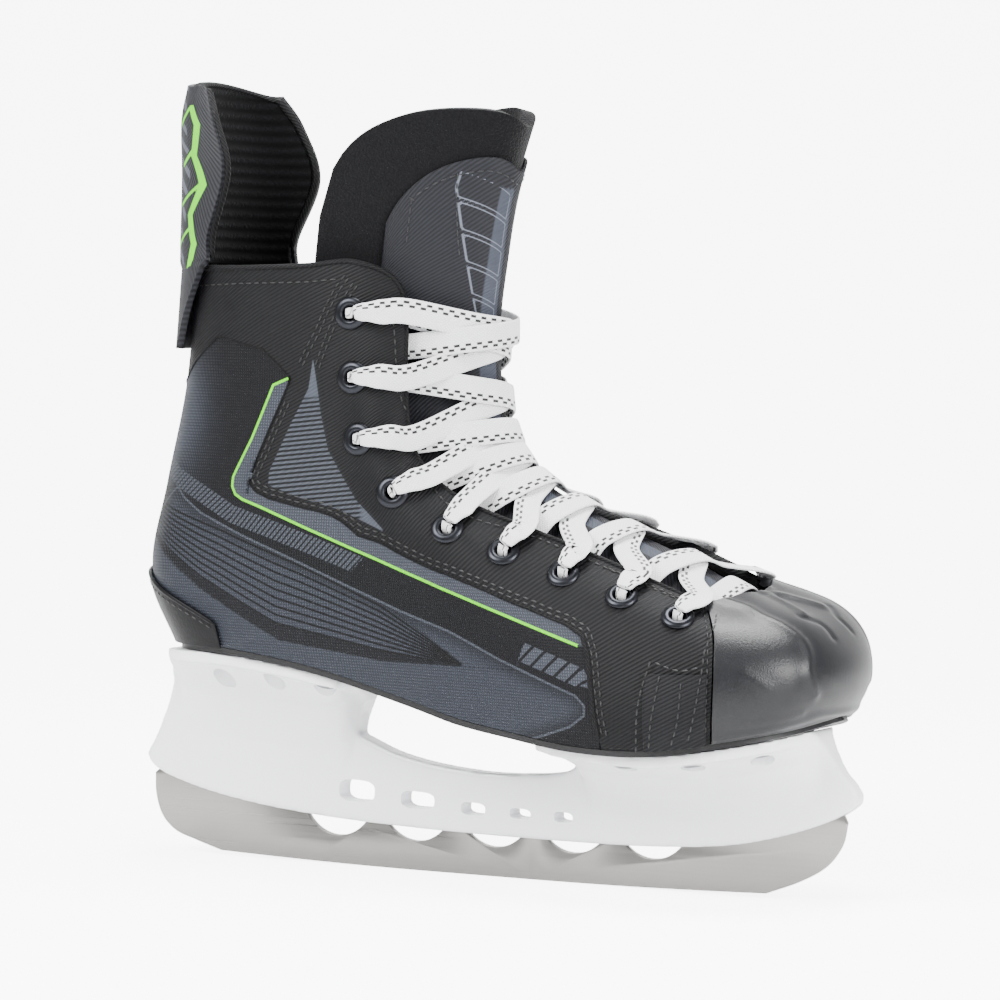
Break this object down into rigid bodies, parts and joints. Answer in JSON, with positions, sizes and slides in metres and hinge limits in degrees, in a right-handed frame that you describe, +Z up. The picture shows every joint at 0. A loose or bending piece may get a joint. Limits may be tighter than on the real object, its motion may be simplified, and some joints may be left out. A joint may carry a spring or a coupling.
{
  "type": "hockey skate",
  "caption": "Right-foot laced ice-hockey skate with a padded boot, tall tongue, tendon guard, white blade holder and steel runner.",
  "frame": {"origin": "on the ice, in the middle of the flat of the runner's edge, between its two sides", "axes": "+X towards the toe, +Y towards the inner side of the foot, +Z up"},
  "size_m": [0.292, 0.1082, 0.2945],
  "materials": {
    "runner_steel": "lengthwise ground stainless steel",
    "holder_nylon": "glossy white moulded nylon",
    "fastener_steel": "zinc plated steel",
    "outsole_composite": "black moulded composite",
    "insole_fibre": "brown pressed fibre board",
    "footbed_foam": "dark grey foam with a woven top",
    "toe_cap_plastic": "satin dark charcoal moulding",
    "knit_lining": "black brushed knit on thin foam",
    "quarter_fibreboard": "moulded fibre composite",
    "printed_nylon": "coarse coated weave with a dark printed pattern and a lime line",
    "coated_twill": "charcoal coated diagonal twill with double stitching",
    "heel_leather": "smooth dark synthetic leather with a stitched edge",
    "guard_twill": "dark grey twill with a lime zig-zag print",
    "tongue_felt": "thick black felt",
    "tongue_twill": "dark blue-grey ribbed nylon",
    "eyelet_nickel": "black nickel plated brass",
    "lace_white": "flat woven white cotton with black tracer dashes"
  },
  "bodies": {
    "boot": {"runner": "runner_steel", "blade_holder": "holder_nylon", "runner_bolt_front": "fastener_steel", "runner_bolt_rear": "fastener_steel", "runner_nut_front": "fastener_steel", "runner_nut_rear": "fastener_steel", "rivet_lateral_1": "fastener_steel", "rivet_lateral_2": "fastener_steel", "rivet_lateral_3": "fastener_steel", "rivet_lateral_4": "fastener_steel", "rivet_lateral_5": "fastener_steel", "rivet_lateral_6": "fastener_steel", "rivet_medial_1": "fastener_steel", "rivet_medial_2": "fastener_steel", "rivet_medial_3": "fastener_steel", "rivet_medial_4": "fastener_steel", "rivet_medial_5": "fastener_steel", "rivet_medial_6": "fastener_steel", "outsole": "outsole_composite", "insole_board": "insole_fibre", "footbed": "footbed_foam", "toe_cap": "toe_cap_plastic", "toe_lining": "knit_lining", "quarter_board_lateral": "quarter_fibreboard", "quarter_board_medial": "quarter_fibreboard", "side_panel_lateral": "printed_nylon", "side_panel_medial": "printed_nylon", "twill_quarter_lateral": "coated_twill", "twill_quarter_medial": "coated_twill", "boot_lining_lateral": "knit_lining", "boot_lining_medial": "knit_lining", "vamp_patch_lateral": "coated_twill", "vamp_patch_medial": "coated_twill", "heel_patch": "heel_leather", "guard_tail": "guard_twill", "tongue_felt_lower": "tongue_felt", "tongue_face_lower": "tongue_twill", "eyelet_lateral_1": "eyelet_nickel", "eyelet_lateral_2": "eyelet_nickel", "eyelet_lateral_3": "eyelet_nickel", "eyelet_lateral_4": "eyelet_nickel", "eyelet_lateral_5": "eyelet_nickel", "eyelet_lateral_6": "eyelet_nickel", "eyelet_lateral_7": "eyelet_nickel", "eyelet_lateral_8": "eyelet_nickel", "eyelet_lateral_9": "eyelet_nickel", "eyelet_medial_1": "eyelet_nickel", "eyelet_medial_2": "eyelet_nickel", "eyelet_medial_3": "eyelet_nickel", "eyelet_medial_4": "eyelet_nickel", "eyelet_medial_5": "eyelet_nickel", "eyelet_medial_6": "eyelet_nickel", "eyelet_medial_7": "eyelet_nickel", "eyelet_medial_8": "eyelet_nickel", "eyelet_medial_9": "eyelet_nickel", "lace": "lace_white"},
    "tongue_top": {"tongue_felt_upper": "tongue_felt", "tongue_face_upper": "tongue_twill"},
    "tendon_guard": {"tendon_guard_shell": "guard_twill", "tendon_guard_lining": "knit_lining"}
  },
  "joints": [
    {"name": "tongue_flop", "type": "hinge", "parent": "boot", "child": "tongue_top", "pos_m": [0.0043, 0, 0.221], "axis": [0, 1, 0], "range_deg": [0, 60]},
    {"name": "tendon_guard_flex", "type": "hinge", "parent": "boot", "child": "tendon_guard", "pos_m": [-0.127, 0, 0.2253], "axis": [0, -1, 0], "range_deg": [0, 25], "stiffness_Nm_per_rad": 2}
  ]
}
